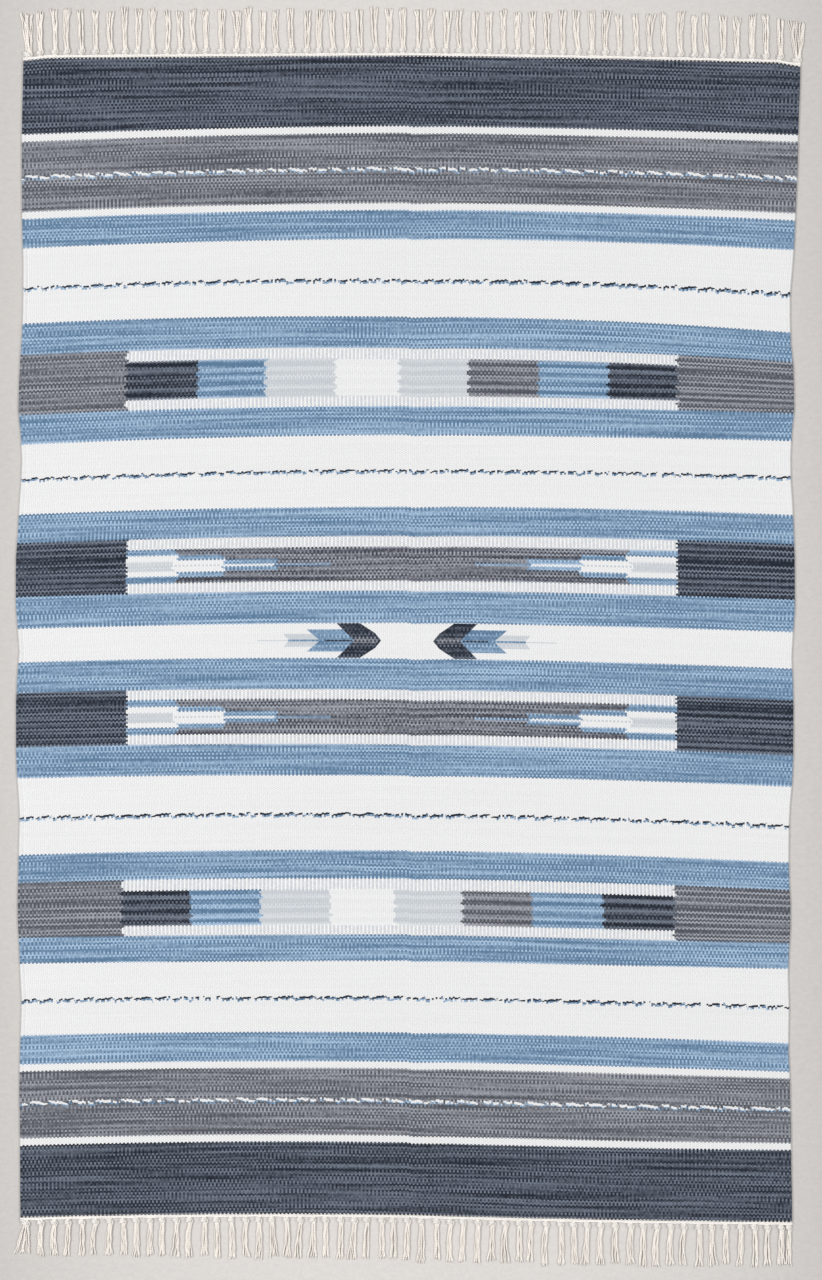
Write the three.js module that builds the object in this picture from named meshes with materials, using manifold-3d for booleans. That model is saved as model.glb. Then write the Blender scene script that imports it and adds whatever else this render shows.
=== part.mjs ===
// A flat-woven kilim, 1.2 m by 1.8 m, lying flat, with a knotted warp fringe at each end.
// Millimetres, +Z up. +Y points to the far end and +X to the right-hand selvedge.
// The origin is on the floor, under the middle of the whole rug with its fringes.

import * as THREE from 'three';
import { mergeVertices } from 'three/addons/utils/BufferGeometryUtils.js';
import Module from 'manifold-3d';

const wasm = await Module();
wasm.setup();

// Driving sizes of the cloth
const fieldWidth = 1200;
const fieldLength = 1798;
const clothThickness = 3.0;
const edgeRounding = 1.1;
const soleTuck = 0.4;
const selvedgeWidth = 6;
const selvedgeThickness = 3.7;
const selvedgeGrooveWidth = 2.4;
const selvedgeGrooveDepth = 0.4;

// The cloth lies in very low ripples, a little different from row to row
const clothRipple = 0.25;
const rippleLength = 520;
const ripplesAcross = 0.85;
const rippleSkew = 1.7;
const rippleOffset = 0.4;

// A soft trough runs the length of the rug, where it was once folded in half. The picks on its right lie
// a little nearer, a step that fades away towards the side and at both ends.
const foldMarkHalfWidth = 9;
const foldMarkDepth = 0.5;
const foldStep = 1.6;
const foldStepReach = 70;
const foldStepEnd = 880;

// At the far end the last picks droop a little into both corners
const leftCornerDroop = 3.9;
const rightCornerDroop = 5.0;
const cornerDroopReach = 36;

// Twined accent lines stand a little proud of the plain weave
const twiningRise = 0.7;
const twiningHalfWidth = 3.6;

// Grid of the field's upper face
const rowPitch = 60;
const columnPitch = 80;

// Fringe: a twined header strip and knotted bundles of warp ends
const pieceGap = 0.3;
const headerWidth = 5.0;
const headerThickness = 3.2;
const headerShoulderDrop = 0.5;
const headerShoulderInset = 1.2;
const headerCrownInset = 1.8;
const headerSteps = 24;
const tasselRoot = 3.4;
const floorHeight = 0;

// Unevenness of the tassels
const placeWaver = 2.4;
const leanWaver = 2.2;
const curlWaver = 1.8;
const fatWaver = 0.12;
const calmShare = 0.3;
const strayThreshold = 0.62;
const strayReach = 6.2;

// Where the side edges lie, as distances left and right of the middle line. The white bands draw the
// edges in and the coloured bands let them out.
const sideEdges = [
  { away: 900, left: 595.4, right: 610.4 },
  { away: 773, left: 597.6, right: 606.7 },
  { away: 652, left: 597.1, right: 602.4 },
  { away: 606, left: 595.1, right: 599.0 },
  { away: 544, left: 595.2, right: 594.3 },
  { away: 492, left: 596.2, right: 594.3 },
  { away: 438, left: 599.9, right: 599.0 },
  { away: 373, left: 603.0, right: 600.8 },
  { away: 295, left: 596.9, right: 595.1 },
  { away: 249, left: 598.3, right: 595.5 },
  { away: 191, left: 602.7, right: 599.5 },
  { away: 117, left: 607.0, right: 601.6 },
  { away: 55, left: 606.7, right: 601.5 },
  { away: -15, left: 601.1, right: 596.8 },
  { away: -91, left: 606.4, right: 599.5 },
  { away: -178, left: 606.4, right: 599.0 },
  { away: -279, left: 600.8, right: 592.7 },
  { away: -341, left: 602.4, right: 592.1 },
  { away: -418, left: 604.2, right: 595.1 },
  { away: -512, left: 600.2, right: 591.2 },
  { away: -566, left: 597.7, right: 592.7 },
  { away: -620, left: 599.6, right: 591.5 },
  { away: -690, left: 601.3, right: 594.4 },
  { away: -783, left: 600.2, right: 595.8 },
  { away: -900, left: 599.9, right: 597.6 },
];

// How far a pick of weft sags towards the near end, at both sides and half way to them. At the middle
// line the sag is nothing.
const weftSag = [
  { away: 900, leftSide: 3.9, leftHalf: 1.5, rightHalf: 4.5, rightSide: 11.6 },
  { away: 789, leftSide: 14.0, leftHalf: 4.3, rightHalf: 5.1, rightSide: 14.0 },
  { away: 615, leftSide: 14.7, leftHalf: 4.0, rightHalf: 4.5, rightSide: 17.0 },
  { away: 492, leftSide: 10.6, leftHalf: 0.6, rightHalf: 6.2, rightSide: 24.8 },
  { away: 311, leftSide: 15.5, leftHalf: 4.3, rightHalf: 3.3, rightSide: 9.0 },
  { away: 199, leftSide: 12.4, leftHalf: 3.1, rightHalf: 3.1, rightSide: 13.2 },
  { away: 19, leftSide: 9.3, leftHalf: 2.6, rightHalf: 5.4, rightSide: 14.3 },
  { away: -37, leftSide: 5.4, leftHalf: -0.9, rightHalf: 5.3, rightSide: 15.8 },
  { away: -218, leftSide: 4.0, leftHalf: -0.6, rightHalf: 6.2, rightSide: 17.0 },
  { away: -335, leftSide: 7.1, leftHalf: 0.0, rightHalf: 6.5, rightSide: 18.6 },
  { away: -505, leftSide: 4.3, leftHalf: 1.4, rightHalf: 6.7, rightSide: 12.4 },
  { away: -617, leftSide: 4.7, leftHalf: -0.5, rightHalf: 6.5, rightSide: 16.8 },
  { away: -786, leftSide: 4.7, leftHalf: -1.1, rightHalf: 7.4, rightSide: 11.6 },
  { away: -900, leftSide: 4.0, leftHalf: -1.2, rightHalf: 7.1, rightSide: 11.0 },
];

// The middle of each twined accent line, from the far end to the near end
const twinedLines = [
  { away: 723.5 },
  { away: 550.5 },
  { away: 255.5 },
  { away: -278 },
  { away: -561.5 },
  { away: -721.5 },
];

// One tassel from its root in the header to its tip: a knot, a narrow neck and a skirt that widens to a
// blunt end. along is measured from the header's outer edge and is stretched to the tassel's own length
// beyond the neck.
const tasselSections = [
  { along: -tasselRoot, width: 5.0, height: 2.2 },
  { along: 0.4, width: 6.2, height: 3.0 },
  { along: 2.0, width: 8.2, height: 4.6 },
  { along: 4.4, width: 8.2, height: 4.7 },
  { along: 7.0, width: 5.6, height: 3.4 },
  { along: 24.0, width: 8.0, height: 2.9 },
  { along: 46.0, width: 8.8, height: 2.6 },
  { along: 62.8, width: 9.6, height: 2.0 },
];
const plainKnotWidth = 8.2;
const plainTipWidth = 9.6;
const neckAlong = 7.0;
const plainTasselLength = 62.8;
const tasselTopShare = 0.66;

// A stray lock leaves the skirt of some tassels for the wider gap beside them
const straySections = [
  { along: 12.0, width: 2.2, height: 2.0 },
  { along: 28.0, width: 2.6, height: 2.2 },
  { along: 44.0, width: 2.6, height: 2.0 },
  { along: 58.0, width: 2.0, height: 1.5 },
];

// The two ends of the rug: which way each faces, how many tassels it has and how long they are, where the
// first, the middle and the last of them leave the header, and its thicker corner tassels, outside those
const ends = [
  {
    name: 'fringe_far_end',
    facing: 1,
    tassels: 55,
    lengths: [
      { place: -590, length: 67.3 },
      { place: -160, length: 66.8 },
      { place: 175, length: 65.0 },
      { place: 600, length: 65.3 },
    ],
    lengthWaver: 3.5,
    first: -569.5,
    middle: -7.0,
    last: 578.8,
    leftCorner: { root: -587.0, splay: -3.5, knotWidth: 13.0, tipWidth: 20.0 },
    rightCorner: { root: 605.0, splay: 2.6, knotWidth: 13.0, tipWidth: 27.0 },
  },
  {
    name: 'fringe_near_end',
    facing: -1,
    tassels: 57,
    lengths: [
      { place: -590, length: 52.8 },
      { place: -340, length: 61.0 },
      { place: -165, length: 62.8 },
      { place: 175, length: 65.1 },
      { place: 470, length: 62.8 },
    ],
    lengthWaver: 3.0,
    first: -567.5,
    middle: 0.8,
    last: 580.3,
    leftCorner: { root: -592.0, splay: -5.4, knotWidth: 11.0, tipWidth: 22.0 },
    rightCorner: { root: 592.2, splay: -0.5, knotWidth: 7.6, tipWidth: 8.7 },
  },
];

// Steady unevenness: the same number always gives the same share between -1 and 1
function waver(number) {
  const turned = Math.sin(number * 12.9898 + 4.1) * 43758.5453;
  return 2 * (turned - Math.floor(turned)) - 1;
}

// Reads a column of a table that runs from the far end to the near end, easing between its rows
function readTable(table, column, away) {
  let row = 1;
  while (row < table.length - 1 && away < table[row].away) {
    row += 1;
  }
  const upper = table[row - 1];
  const lower = table[row];
  const share = THREE.MathUtils.clamp((upper.away - away) / (upper.away - lower.away), 0, 1);
  const eased = share * share * (3 - 2 * share);
  return upper[column] + (lower[column] - upper[column]) * eased;
}

// Sag of a pick of weft at a place across the rug, side from -1 at the left edge to 1 at the right.
// A parabola runs through the middle, the half-way point and the side.
function sagAt(side, away) {
  const half = readTable(weftSag, side < 0 ? 'leftHalf' : 'rightHalf', away);
  const whole = readTable(weftSag, side < 0 ? 'leftSide' : 'rightSide', away);
  const reach = Math.abs(side);
  const bend = 2 * whole - 4 * half;
  const slope = 4 * half - whole;
  return slope * reach + bend * reach * reach;
}

// Droop of the last picks into the far corners
function droopAt(side, away) {
  const droop = side < 0 ? leftCornerDroop : rightCornerDroop;
  const across = 1 - (1 - Math.abs(side)) * (fieldWidth / 2) / cornerDroopReach;
  const along = 1 - (fieldLength / 2 - away) / cornerDroopReach;
  return droop * THREE.MathUtils.clamp(across, 0, 1) * THREE.MathUtils.clamp(along, 0, 1);
}

// Step of the picks across the fold mark
function foldStepAt(side, away) {
  const fromFold = side * fieldWidth / 2;
  if (fromFold <= 0 || Math.abs(away) > foldStepEnd) {
    return 0;
  }
  const rise = Math.min(1, fromFold / foldMarkHalfWidth);
  return foldStep * rise * Math.max(0, 1 - fromFold / foldStepReach);
}

// A place on the cloth, from its place on the loom
function clothPlace(side, away) {
  const edge = readTable(sideEdges, side < 0 ? 'left' : 'right', away);
  return { x: side * edge, y: away - sagAt(side, away) - droopAt(side, away) - foldStepAt(side, away) };
}

// Height of the upper face
function clothHeight(side, away) {
  const fromMiddle = Math.abs(side) * fieldWidth / 2;
  const fromEdge = fieldWidth / 2 - fromMiddle;
  const rippleTurn = (2 * Math.PI * away) / rippleLength + side * rippleSkew;
  const crossTurn = 2 * Math.PI * ripplesAcross * side + rippleOffset;
  let height = clothThickness + clothRipple * Math.sin(rippleTurn) * Math.sin(crossTurn);
  if (fromMiddle < foldMarkHalfWidth) {
    height -= foldMarkDepth * (1 - fromMiddle / foldMarkHalfWidth);
  }
  for (const line of twinedLines) {
    const offset = Math.abs(away - line.away);
    if (offset < twiningHalfWidth) {
      height += twiningRise * (1 - offset / twiningHalfWidth);
    }
  }
  if (fromEdge < selvedgeWidth) {
    height = selvedgeThickness;
  } else if (fromEdge < selvedgeWidth + selvedgeGrooveWidth) {
    height -= selvedgeGrooveDepth;
  }
  return height;
}

// Columns of the field, as shares across from -1 to 1, with extra ones at the selvedges and the fold
function fieldColumns() {
  const half = fieldWidth / 2;
  const inGroove = selvedgeWidth + selvedgeGrooveWidth / 2;
  const distances = [edgeRounding, selvedgeWidth * 0.6, inGroove, selvedgeWidth * 3, cornerDroopReach];
  distances.forEach((fromEdge, index) => {
    distances[index] = half - fromEdge;
  });
  for (let distance = columnPitch; distance < half - columnPitch / 2; distance += columnPitch) {
    distances.push(distance);
  }
  distances.push(foldMarkHalfWidth);
  const columns = [0];
  for (const distance of distances) {
    columns.push(distance / half);
    columns.push(-distance / half);
  }
  return columns.sort((one, other) => one - other);
}

// Rows of the field, from the near end to the far end, with three at each twined line
function fieldRows() {
  const half = fieldLength / 2 - edgeRounding;
  const rows = [-half, fieldLength / 2 - cornerDroopReach, half];
  for (let away = -half + rowPitch; away < half - rowPitch / 2; away += rowPitch) {
    const nearLine = twinedLines.some((line) => Math.abs(line.away - away) < rowPitch / 3);
    if (!nearLine) {
      rows.push(away);
    }
  }
  for (const line of twinedLines) {
    rows.push(line.away - twiningHalfWidth);
    rows.push(line.away);
    rows.push(line.away + twiningHalfWidth);
  }
  return rows.sort((one, other) => one - other);
}

// Collects the points and triangles of one closed body
class Body {
  constructor() {
    this.points = [];
    this.triangles = [];
  }

  point(x, y, z) {
    this.points.push(x, y, z);
    return this.points.length / 3 - 1;
  }

  triangle(a, b, c) {
    this.triangles.push(a, b, c);
  }

  quad(a, b, c, d) {
    this.triangle(a, b, c);
    this.triangle(a, c, d);
  }

  geometry() {
    const geometry = new THREE.BufferGeometry();
    geometry.setAttribute('position', new THREE.Float32BufferAttribute(this.points, 3));
    geometry.setIndex(this.triangles);
    return geometry;
  }
}

// The woven field: a waved upper face, a rounded rim and a flat underside
function makeField() {
  const body = new Body();
  const columns = fieldColumns();
  const rows = fieldRows();
  const lastRow = rows.length - 1;
  const lastColumn = columns.length - 1;

  const top = rows.map((away) => columns.map((side) => {
    const place = clothPlace(side, away);
    return body.point(place.x, place.y, clothHeight(side, away));
  }));

  // The rim is the outline in order round the cloth, seen from above and against the clock
  const rim = [];
  for (let column = 0; column < lastColumn; column += 1) {
    rim.push({ row: 0, column, outX: 0, outY: -1 });
  }
  for (let row = 0; row < lastRow; row += 1) {
    rim.push({ row, column: lastColumn, outX: 1, outY: 0 });
  }
  for (let column = lastColumn; column > 0; column -= 1) {
    rim.push({ row: lastRow, column, outX: 0, outY: 1 });
  }
  for (let row = lastRow; row > 0; row -= 1) {
    rim.push({ row, column: 0, outX: -1, outY: 0 });
  }
  const isCorner = (spot) => (spot.row === 0 || spot.row === lastRow)
    && (spot.column === 0 || spot.column === lastColumn);
  const belly = new Map();
  const sole = new Map();
  for (const spot of rim) {
    const place = clothPlace(columns[spot.column], rows[spot.row]);
    const corner = isCorner(spot);
    const outX = corner ? Math.sign(columns[spot.column]) * Math.SQRT1_2 : spot.outX;
    const outY = corner ? Math.sign(rows[spot.row]) * Math.SQRT1_2 : spot.outY;
    const key = `${spot.row},${spot.column}`;
    const x = place.x + outX * edgeRounding;
    const y = place.y + outY * edgeRounding;
    belly.set(key, body.point(x, y, clothThickness / 2));
    const tuckedX = place.x + outX * edgeRounding * soleTuck;
    const tuckedY = place.y + outY * edgeRounding * soleTuck;
    sole.set(key, body.point(tuckedX, tuckedY, floorHeight));
  }
  const keyOf = (spot) => `${spot.row},${spot.column}`;

  for (let row = 0; row < lastRow; row += 1) {
    for (let column = 0; column < lastColumn; column += 1) {
      body.quad(top[row][column], top[row][column + 1], top[row + 1][column + 1], top[row + 1][column]);
    }
  }
  rim.forEach((spot, index) => {
    const next = rim[(index + 1) % rim.length];
    const upper = top[spot.row][spot.column];
    const upperNext = top[next.row][next.column];
    body.quad(belly.get(keyOf(spot)), belly.get(keyOf(next)), upperNext, upper);
    body.quad(sole.get(keyOf(spot)), sole.get(keyOf(next)), belly.get(keyOf(next)), belly.get(keyOf(spot)));
  });

  // Underside: wide facets from side to side, and a fan at each end
  for (let row = 1; row < lastRow - 1; row += 1) {
    const left = sole.get(`${row},0`);
    const right = sole.get(`${row},${lastColumn}`);
    const nextLeft = sole.get(`${row + 1},0`);
    const nextRight = sole.get(`${row + 1},${lastColumn}`);
    body.quad(left, nextLeft, nextRight, right);
  }
  const middleColumn = Math.floor(lastColumn / 2);
  for (const end of [{ edge: 0, inner: 1, flip: false }, { edge: lastRow, inner: lastRow - 1, flip: true }]) {
    const left = sole.get(`${end.inner},0`);
    const right = sole.get(`${end.inner},${lastColumn}`);
    const face = (a, b, c) => (end.flip ? body.triangle(a, c, b) : body.triangle(a, b, c));
    for (let column = 0; column < lastColumn; column += 1) {
      const here = sole.get(`${end.edge},${column}`);
      const next = sole.get(`${end.edge},${column + 1}`);
      face(column < middleColumn ? left : right, next, here);
    }
    face(left, right, sole.get(`${end.edge},${middleColumn}`));
  }
  return body.geometry();
}

// A closed body through four-sided sections, each an array of four corners in the same order
function loft(sections) {
  const body = new Body();
  const rings = sections.map((corners) => corners.map((corner) => body.point(corner.x, corner.y, corner.z)));
  for (let ring = 0; ring < rings.length - 1; ring += 1) {
    for (let corner = 0; corner < 4; corner += 1) {
      const next = (corner + 1) % 4;
      body.quad(rings[ring][corner], rings[ring][next], rings[ring + 1][next], rings[ring + 1][corner]);
    }
  }
  const first = rings[0];
  const last = rings[rings.length - 1];
  body.quad(first[3], first[2], first[1], first[0]);
  body.quad(last[0], last[1], last[2], last[3]);
  return body.geometry();
}

// Turns a closed geometry into a solid that can be joined and cut
function toSolid(geometry) {
  const merged = mergeVertices(geometry, 1e-4);
  const mesh = new wasm.Mesh({
    numProp: 3,
    vertProperties: new Float32Array(merged.attributes.position.array),
    triVerts: new Uint32Array(merged.index.array),
  });
  return new wasm.Manifold(mesh);
}

// Turns a solid back into a geometry
function toGeometry(solid) {
  const mesh = solid.getMesh();
  const geometry = new THREE.BufferGeometry();
  geometry.setAttribute('position', new THREE.Float32BufferAttribute(mesh.vertProperties, 3));
  geometry.setIndex(new THREE.Uint32BufferAttribute(mesh.triVerts, 1));
  return geometry;
}

// One lock of yarn: a flat-bottomed loft along a bent line that leaves the header straight
function lockSections(end, root, table, shape) {
  return table.map((section) => {
    const beyondNeck = Math.max(0, section.along - neckAlong);
    const stretch = (shape.length - neckAlong) / (plainTasselLength - neckAlong);
    const along = Math.min(section.along, neckAlong) + beyondNeck * stretch;
    const share = beyondNeck / (plainTasselLength - neckAlong);
    const drift = shape.lean * share + shape.curl * Math.sin(Math.PI * share) + shape.splay * share;
    const x = root.x + drift;
    const y = root.y + end.facing * along;
    const fat = shape.knotFat + (shape.tipFat - shape.knotFat) * share;
    const halfFoot = section.width * fat / 2;
    const halfTop = halfFoot * tasselTopShare;
    const top = floorHeight + section.height;
    const corners = [
      { x: x - halfFoot, y, z: floorHeight },
      { x: x + halfFoot, y, z: floorHeight },
      { x: x + halfTop, y, z: top },
      { x: x - halfTop, y, z: top },
    ];
    return end.facing > 0 ? corners.reverse() : corners;
  });
}

// The header strip: a low crowned bar that follows the end of the field
function headerSections(end) {
  const startAway = end.facing * (fieldLength / 2 + pieceGap);
  const droopSide = 1 - cornerDroopReach / (fieldWidth / 2);
  const sides = [-droopSide, droopSide];
  for (let step = 0; step <= headerSteps; step += 1) {
    sides.push((2 * step) / headerSteps - 1);
  }
  sides.sort((one, other) => one - other);
  const sections = [];
  for (const side of sides) {
    const inner = clothPlace(side, startAway);
    const outerY = inner.y + end.facing * headerWidth;
    const shoulderY = outerY - end.facing * headerShoulderInset;
    const crownY = inner.y + end.facing * headerCrownInset;
    const corners = [
      { x: inner.x, y: inner.y, z: 0 },
      { x: inner.x, y: outerY, z: 0 },
      { x: inner.x, y: shoulderY, z: headerThickness - headerShoulderDrop },
      { x: inner.x, y: crownY, z: headerThickness },
    ];
    sections.push(end.facing > 0 ? corners : corners.reverse());
  }
  return sections;
}

// How far across the rug a tassel leaves the header
function tasselPlace(end, index) {
  const corner = cornerOf(end, index);
  if (corner) {
    return corner.root;
  }
  const middleIndex = (end.tassels - 1) / 2;
  const share = (index - middleIndex) / (middleIndex - 1);
  const span = share < 0 ? end.middle - end.first : end.last - end.middle;
  return end.middle + span * share + placeWaver * calm(end, index) * waver(index + 12 * end.facing + 140);
}

// The corner tassel that an index stands for, if any
function cornerOf(end, index) {
  if (index === 0) {
    return end.leftCorner;
  }
  return index === end.tassels - 1 ? end.rightCorner : null;
}

// The tassels next to a corner hang straighter, because the corner tassel holds them
function calm(end, index) {
  return index < 2 || index > end.tassels - 3 ? calmShare : 1;
}

// How long the tassels are at a place across the rug
function lengthAt(end, place) {
  const rows = end.lengths;
  let row = 1;
  while (row < rows.length - 1 && place > rows[row].place) {
    row += 1;
  }
  const share = (place - rows[row - 1].place) / (rows[row].place - rows[row - 1].place);
  return THREE.MathUtils.lerp(rows[row - 1].length, rows[row].length, THREE.MathUtils.clamp(share, 0, 1));
}

// The shape of one tassel: its length, lean, curl and thickness
function tasselShape(end, index) {
  const plainLength = lengthAt(end, tasselPlace(end, index));
  const seed = index + (end.facing > 0 ? 0 : 200);
  const corner = cornerOf(end, index);
  const fat = 1 + fatWaver * calm(end, index) * waver(seed + 95);
  return {
    length: plainLength + end.lengthWaver * waver(seed),
    lean: leanWaver * calm(end, index) * waver(seed + 31),
    curl: curlWaver * calm(end, index) * waver(seed + 67),
    splay: corner ? corner.splay : 0,
    knotFat: corner ? corner.knotWidth / plainKnotWidth : 1,
    tipFat: corner ? corner.tipWidth / plainTipWidth : fat,
  };
}

// Which way a tassel's stray lock falls, towards the wider gap beside it, or 0 if it has none
function strayHand(end, index) {
  const beside = index < 2 || index > end.tassels - 3;
  if (beside || waver(index * 3 + 17 * end.facing + 300) < strayThreshold) {
    return 0;
  }
  const place = tasselPlace(end, index);
  const leftGap = place - tasselPlace(end, index - 1);
  const rightGap = tasselPlace(end, index + 1) - place;
  return leftGap > rightGap ? -1 : 1;
}

// The header strip with its tassels, joined into one solid
function makeFringe(end) {
  let solid = toSolid(loft(headerSections(end)));
  const headerAway = end.facing * (fieldLength / 2 + pieceGap);
  for (let index = 0; index < end.tassels; index += 1) {
    const place = tasselPlace(end, index);
    const edge = readTable(sideEdges, place < 0 ? 'left' : 'right', headerAway);
    const inner = clothPlace(place / edge, headerAway);
    const root = { x: inner.x, y: inner.y + end.facing * headerWidth };
    const shape = tasselShape(end, index);
    solid = solid.add(toSolid(loft(lockSections(end, root, tasselSections, shape))));
    const hand = strayHand(end, index);
    if (hand !== 0) {
      const lock = { ...shape, lean: shape.lean + hand * strayReach, curl: shape.curl + hand, tipFat: 1 };
      solid = solid.add(toSolid(loft(lockSections(end, root, straySections, lock))));
    }
  }
  return toGeometry(solid);
}

// Puts one named piece into the rug
function addPiece(group, name, geometry, color, roughness) {
  geometry.computeVertexNormals();
  const material = new THREE.MeshStandardMaterial({ color, roughness, metalness: 0 });
  const mesh = new THREE.Mesh(geometry, material);
  mesh.name = name;
  group.add(mesh);
}

const rug = new THREE.Group();
rug.name = 'kilim';
const body = new THREE.Group();
rug.add(body);
addPiece(body, 'field', makeField(), 0x9fa9b6, 0.95);
for (const end of ends) {
  addPiece(body, end.name, makeFringe(end), 0xece5dc, 0.95);
}

// Stand the rug on the floor, centred over the origin
const extent = new THREE.Box3().setFromObject(body);
const centre = extent.getCenter(new THREE.Vector3());
body.position.set(-centre.x, -centre.y, -extent.min.z);

export default rug;
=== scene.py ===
"""A flat-woven kilim with a knotted warp fringe at each end, lying on a plain pale floor.

Blender works in metres. Sizes here are in millimetres on the loom, and MM turns them into metres.
"""

import math
from functools import partialmethod

import bpy
import numpy as np
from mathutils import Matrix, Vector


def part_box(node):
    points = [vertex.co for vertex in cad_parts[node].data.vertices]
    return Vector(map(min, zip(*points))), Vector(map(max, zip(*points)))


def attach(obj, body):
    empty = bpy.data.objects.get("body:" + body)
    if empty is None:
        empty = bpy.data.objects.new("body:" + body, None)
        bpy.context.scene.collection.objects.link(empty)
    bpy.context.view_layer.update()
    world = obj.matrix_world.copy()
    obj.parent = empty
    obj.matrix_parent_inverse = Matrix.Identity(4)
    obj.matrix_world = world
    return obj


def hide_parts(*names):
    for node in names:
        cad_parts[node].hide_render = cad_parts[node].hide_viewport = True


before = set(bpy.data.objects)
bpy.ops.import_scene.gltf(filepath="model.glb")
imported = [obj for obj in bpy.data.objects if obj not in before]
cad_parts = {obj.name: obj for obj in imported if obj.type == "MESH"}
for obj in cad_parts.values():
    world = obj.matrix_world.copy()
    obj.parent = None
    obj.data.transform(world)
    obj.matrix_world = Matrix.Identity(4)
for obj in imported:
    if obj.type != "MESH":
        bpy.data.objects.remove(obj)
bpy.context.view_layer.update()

MM = 0.001
TURN = 2 * math.pi


def table(columns, *rows):
    """A short table with named columns: one dictionary a row."""
    return [dict(zip(columns.split(), row)) for row in rows]


def values_of(rows, column):
    """One column of a table, as an array."""
    return np.array([row[column] for row in rows], float)


# Sizes of the cloth, as in the part
FIELD_WIDTH = 1200.0
FIELD_LENGTH = 1798.0
HALF_WIDTH = FIELD_WIDTH / 2
HALF_LENGTH = FIELD_LENGTH / 2
CLOTH_THICKNESS = 3.0
EDGE_ROUNDING = 1.1
SOLE_TUCK = 0.4
SELVEDGE_WIDTH = 6.0
SELVEDGE_THICKNESS = 3.7
GROOVE_WIDTH = 2.4
GROOVE_DEPTH = 0.4
CLOTH_RIPPLE = 0.25
RIPPLE_LENGTH = 520.0
RIPPLES_ACROSS = 0.85
RIPPLE_SKEW = 1.7
RIPPLE_OFFSET = 0.4
FOLD_HALF_WIDTH = 9.0
FOLD_DEPTH = 0.5
FOLD_STEP = 1.6
FOLD_STEP_REACH = 70.0
FOLD_STEP_END = 880.0
LEFT_CORNER_DROOP = 3.9
RIGHT_CORNER_DROOP = 5.0
CORNER_DROOP_REACH = 36.0
TWINING_RISE = 0.7
TWINING_HALF_WIDTH = 3.6

# Sizes of the weave: a warp makes each rib, and a stitch is what one pick of weft shows over a rib
WARP_PITCH = 3.0
STITCH_LENGTH = 3.1
RIB_RELIEF = 0.55
ROW_PITCH = 38.0

# Sizes of the fringe, as in the part, and of its yarns
PIECE_GAP = 0.3
HEADER_WIDTH = 5.0
PLACE_WAVER = 2.4
LEAN_WAVER = 2.2
CURL_WAVER = 1.8
FAT_WAVER = 0.12
CALM_SHARE = 0.3
STRAY_THRESHOLD = 0.62
STRAY_REACH = 6.2
STRAY_START = 12.0
PLAIN_KNOT_WIDTH = 8.2
PLAIN_TIP_WIDTH = 9.6
NECK_ALONG = 7.0
PLAIN_LENGTH = 62.8
YARN_RADIUS = 0.80
YARNS_A_TASSEL = 8
YARN_SIDES = 7
YARN_STATIONS = 16
YARN_CUT_WAVER = 2.6
NEAR_KNOT = [-3.0, -1.4, 0.2, 1.8, 3.4, 5.2, 7.0]
KNOT_TURNS = 3
KNOT_STATIONS = 12
KNOT_YARN_RADIUS = 1.1
KNOT_START = 1.2
KNOT_PITCH = 1.9
KNOT_HEIGHT = 2.9
KNOT_RISE = 1.7
KNOT_ASIDE = 0.7

# The header's two rows of twining, outwards from its inner edge, and the bed under them
HEADER_ROWS = table("offset height radius", (1.1, 1.85, 1.3), (3.2, 1.7, 1.15))
HEADER_STATIONS = 801
HEADER_SIDES = 8
HEADER_TWIST_LENGTH = 12.0
HEADER_LOBE = 0.38
BED_EVERY = 8
BED_OFFSET = 2.0
BED_HEIGHT = 0.9
BED_RADIUS = 1.9
BED_FLATNESS = 0.37

# One tassel from its root in the header to its tip
TASSEL_SECTIONS = table(
    "along width",
    (-3.4, 5.0), (0.4, 6.2), (2.0, 8.2), (4.4, 8.2), (7.0, 5.6), (24.0, 8.0), (46.0, 8.8), (62.8, 9.6),
)

# The photograph, for the camera: one of its pixels on the floor, its size, and where the middle of the
# rug's field shows in it
PHOTO_PIXEL = 1.5517
PHOTO_SIZE_PX = (822, 1280)
PHOTO_MIDDLE_LINE_PX = (407.0, 635.3)
SENSOR_WIDTH = 36.0
LENS = 70.0
CLIP_START = 0.05
CLIP_END = 50.0

# Where the side edges lie, left and right of the middle line, from the far end to the near end
SIDE_EDGES = table(
    "away left right",
    (900, 595.4, 610.4), (773, 597.6, 606.7), (652, 597.1, 602.4), (606, 595.1, 599.0), (544, 595.2, 594.3),
    (492, 596.2, 594.3), (438, 599.9, 599.0), (373, 603.0, 600.8), (295, 596.9, 595.1), (249, 598.3, 595.5),
    (191, 602.7, 599.5), (117, 607.0, 601.6), (55, 606.7, 601.5), (-15, 601.1, 596.8), (-91, 606.4, 599.5),
    (-178, 606.4, 599.0), (-279, 600.8, 592.7), (-341, 602.4, 592.1), (-418, 604.2, 595.1),
    (-512, 600.2, 591.2), (-566, 597.7, 592.7), (-620, 599.6, 591.5), (-690, 601.3, 594.4),
    (-783, 600.2, 595.8), (-900, 599.9, 597.6),
)

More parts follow.
